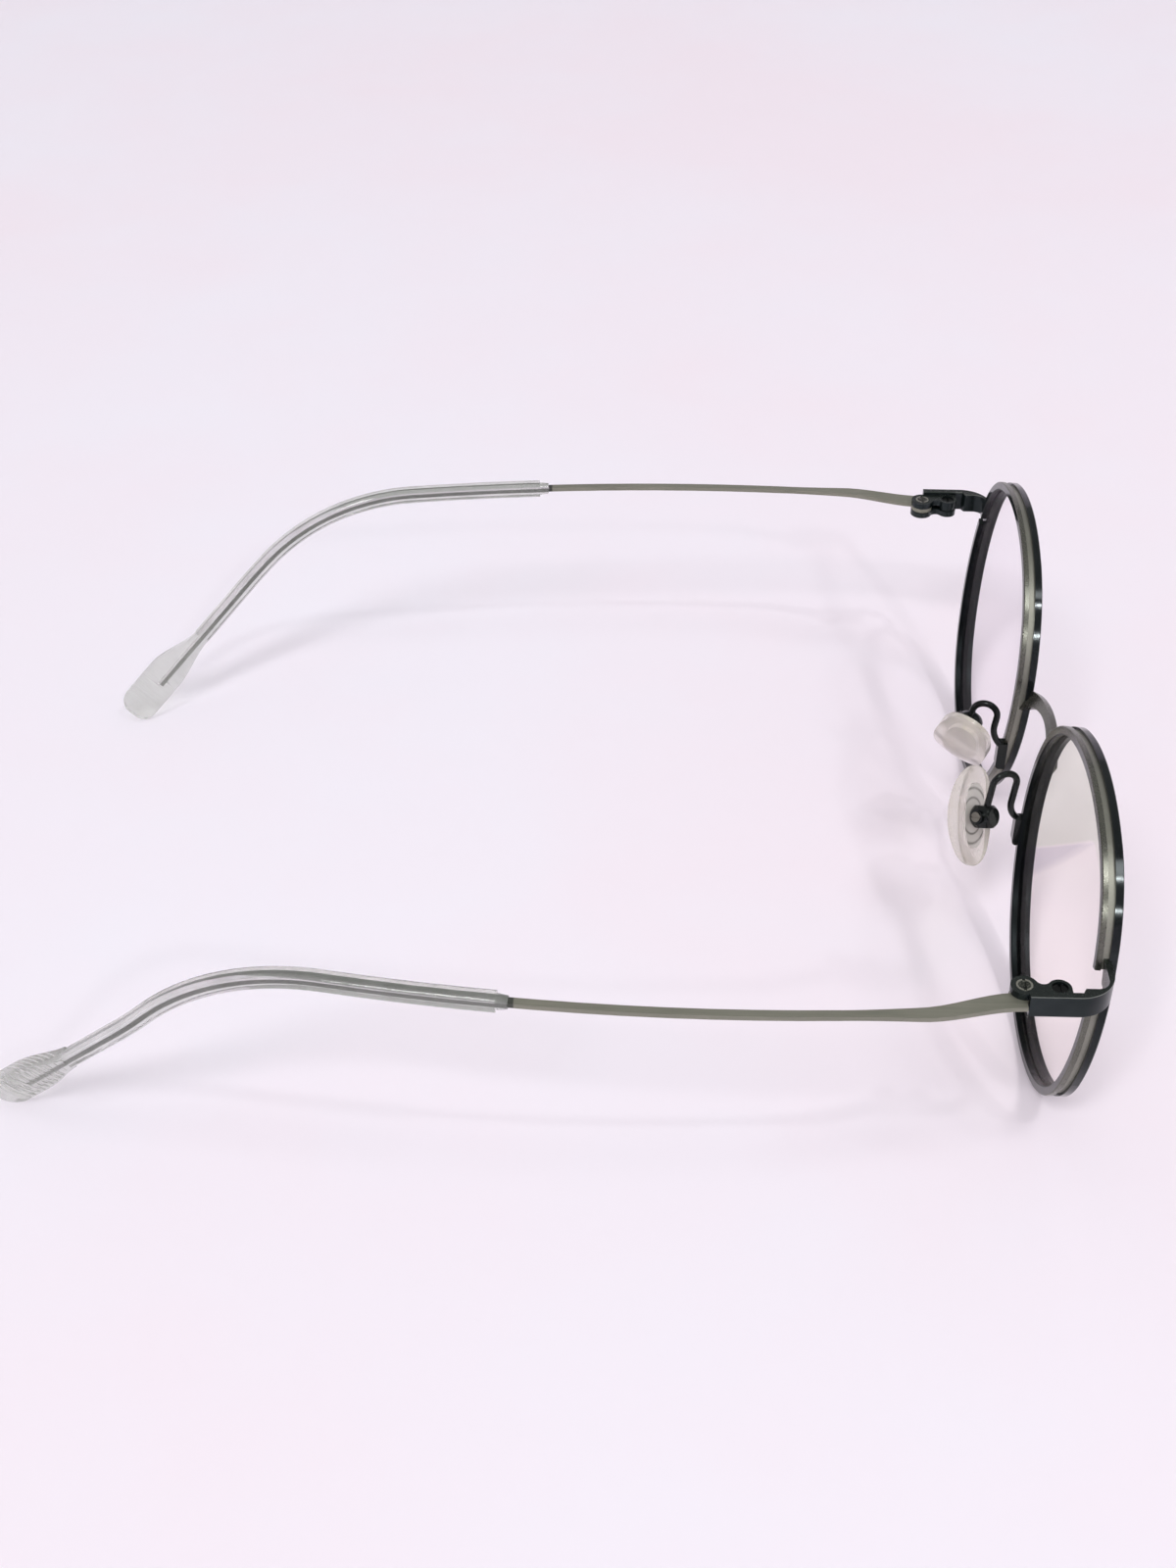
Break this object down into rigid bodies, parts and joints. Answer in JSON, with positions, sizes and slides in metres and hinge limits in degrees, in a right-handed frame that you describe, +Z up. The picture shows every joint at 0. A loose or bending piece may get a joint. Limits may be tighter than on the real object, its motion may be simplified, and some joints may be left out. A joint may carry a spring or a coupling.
{
  "type": "eyeglass frame",
  "caption": "Round metal eyeglass frame with channelled rims, arched bridge, screw-on nose pads, folding strip temples and clear paddle-ended tips.",
  "frame": {"origin": "middle of the table footprint: the frame stands open on the bottoms of both rims and the lower corners of both temple tips, with z = 0 at the table", "axes": "+X towards the wearer's left, +Y back along the temples (the lenses look towards -Y), +Z up from the table"},
  "size_m": [0.1254, 0.1434, 0.0454],
  "materials": {
    "gunmetal": "dark gunmetal plating, satin",
    "temple_metal": "grey satin plating",
    "screw_steel": "plain steel screw heads",
    "lens": "clear polished lens",
    "tip_acetate": "clear smoky grey, glossy",
    "pad_silicone": "clear off-white, soft gloss",
    "pad_insert": "clear hard insert"
  },
  "bodies": {
    "front": {"rim_left": "gunmetal", "rim_right": "gunmetal", "lens_left": "lens", "lens_right": "lens", "bridge": "gunmetal", "endpiece_left": "gunmetal", "endpiece_right": "gunmetal", "hinge_leaf_left": "gunmetal", "hinge_leaf_right": "gunmetal", "closing_block_left": "gunmetal", "closing_block_right": "gunmetal", "hinge_screw_left": "screw_steel", "hinge_screw_right": "screw_steel", "closing_screw_left": "screw_steel", "closing_screw_right": "screw_steel", "pad_arm_left": "gunmetal", "pad_arm_right": "gunmetal", "pad_box_left": "gunmetal", "pad_box_right": "gunmetal", "pad_screw_left": "screw_steel", "pad_screw_right": "screw_steel"},
    "temple_left": {"temple_left": "temple_metal", "temple_tip_left": "tip_acetate"},
    "temple_right": {"temple_right": "temple_metal", "temple_tip_right": "tip_acetate"},
    "pad_left": {"nose_pad_left": "pad_silicone", "pad_insert_left": "pad_insert"},
    "pad_right": {"nose_pad_right": "pad_silicone", "pad_insert_right": "pad_insert"}
  },
  "joints": [
    {"name": "temple_left_fold", "type": "hinge", "parent": "front", "child": "temple_left", "pos_m": [0.0573, -0.05899, 0.03146], "axis": [0, -0.0302, 0.9995], "range_deg": [0, 90]},
    {"name": "temple_right_fold", "type": "hinge", "parent": "front", "child": "temple_right", "pos_m": [-0.0573, -0.05899, 0.03146], "axis": [0, 0.0302, -0.9995], "range_deg": [0, 84.5]},
    {"name": "pad_left_rock", "type": "hinge", "parent": "front", "child": "pad_left", "pos_m": [0.01006, -0.06163, 0.02215], "axis": [0.4576, 0.8242, 0.3336], "range_deg": [-10, 10]},
    {"name": "pad_right_rock", "type": "hinge", "parent": "front", "child": "pad_right", "pos_m": [-0.0101, -0.06146, 0.02086], "axis": [-0.6063, 0.6694, 0.4293], "range_deg": [-10, 10]}
  ]
}
